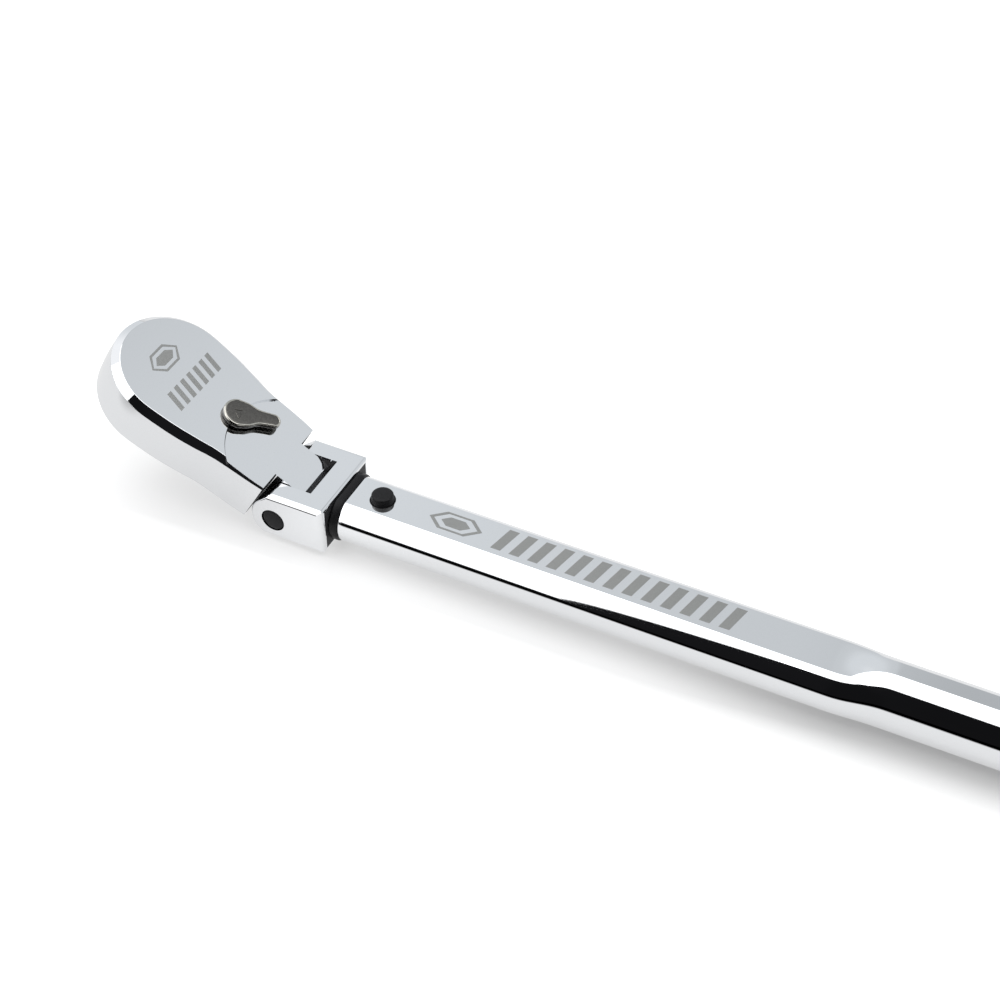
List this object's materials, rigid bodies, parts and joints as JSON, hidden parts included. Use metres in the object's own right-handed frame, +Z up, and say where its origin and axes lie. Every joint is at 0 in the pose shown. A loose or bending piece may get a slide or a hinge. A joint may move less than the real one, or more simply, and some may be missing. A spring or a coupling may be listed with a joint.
{
  "type": "extending flex-head ratchet wrench",
  "caption": "Ratchet wrench with a teardrop head that flexes on a yoke, a reversing thumb lever, and a tube handle that the yoke's bar slides out of and locks.",
  "frame": {"origin": "bottom centre of the whole tool at rest: on the surface under the handle's round tube, half way along the tool", "axes": "+X along the handle towards the grip end, +Z up with the head's lever side on top, +Y across the tool"},
  "size_m": [0.4522, 0.043, 0.0556],
  "materials": {
    "polished_chrome": "mirror-polished chrome plate with soft etched bands",
    "black_oxide": "satin black oxide on steel",
    "dark_nickel": "dark satin nickel, cast",
    "plain_steel": "ground hardened steel, lightly oiled",
    "spring_steel": "drawn spring wire",
    "seal_rubber": "matt nitrile rubber"
  },
  "bodies": {
    "handle": {"handle_tube": "polished_chrome", "mouth_bushing": "black_oxide", "end_cap": "black_oxide", "spring_plug": "black_oxide", "lock_spring": "spring_steel"},
    "lock": {"lock_button": "black_oxide", "lock_pin": "plain_steel"},
    "extension": {"yoke_bar": "polished_chrome", "pivot_pin": "black_oxide", "flex_plunger": "plain_steel", "flex_spring": "spring_steel", "stop_bush": "plain_steel", "stop_screw": "black_oxide"},
    "head": {"head_body": "polished_chrome", "cover_plate": "black_oxide", "snap_ring": "spring_steel", "drive_seal": "seal_rubber", "pawl_pin": "plain_steel", "lever_snap_ring": "spring_steel"},
    "drive": {"drive_gear": "plain_steel", "detent_spring": "spring_steel"},
    "ball": {"detent_ball": "plain_steel"},
    "pawl": {"pawl": "plain_steel"},
    "lever": {"reverse_lever": "dark_nickel", "lever_seal": "seal_rubber", "plunger_spring": "spring_steel"},
    "plunger": {"pawl_plunger": "plain_steel"}
  },
  "joints": [
    {"name": "extend_slide", "type": "slide", "parent": "handle", "child": "extension", "axis": [-1, 0, 0], "range_m": [0, 0.1524]},
    {"name": "lock_press", "type": "slide", "parent": "handle", "child": "lock", "axis": [0, 0, -1], "range_m": [0, 0.0024], "stiffness_N_per_m": 800, "springref_m": -0.002, "deforming": ["lock_spring"]},
    {"name": "head_flex", "type": "hinge", "parent": "extension", "child": "head", "pos_m": [-0.15737, 0, 0.0094], "axis": [0, 1, 0], "range_deg": [-104.58, 20.42]},
    {"name": "drive_spin", "type": "hinge", "parent": "head", "child": "drive", "pos_m": [-0.20384, 0, 0.03578], "axis": [0.4936, 0, 0.8697], "continuous": true},
    {"name": "ball_detent", "type": "slide", "parent": "drive", "child": "ball", "axis": [0.8697, 0, -0.4936], "range_m": [0, 0.001], "stiffness_N_per_m": 600, "springref_m": -0.002, "deforming": ["detent_spring"]},
    {"name": "lever_turn", "type": "hinge", "parent": "head", "child": "lever", "pos_m": [-0.18329, 0, 0.02411], "axis": [0.4936, 0, 0.8697], "range_deg": [-65, 0]},
    {"name": "pawl_rock", "type": "hinge", "parent": "head", "child": "pawl", "pos_m": [-0.18966, 0, 0.02773], "axis": [0.4936, 0, 0.8697], "range_deg": [0, 8]},
    {"name": "plunger_slide", "type": "slide", "parent": "lever", "child": "plunger", "axis": [0.7335, 0.5373, -0.4163], "range_m": [0, 0.0008], "stiffness_N_per_m": 400, "springref_m": -0.001, "deforming": ["plunger_spring"]}
  ],
  "couplings": [
    {"joint": "pawl_rock", "follows": "lever_turn", "ratio": -0.123}
  ]
}
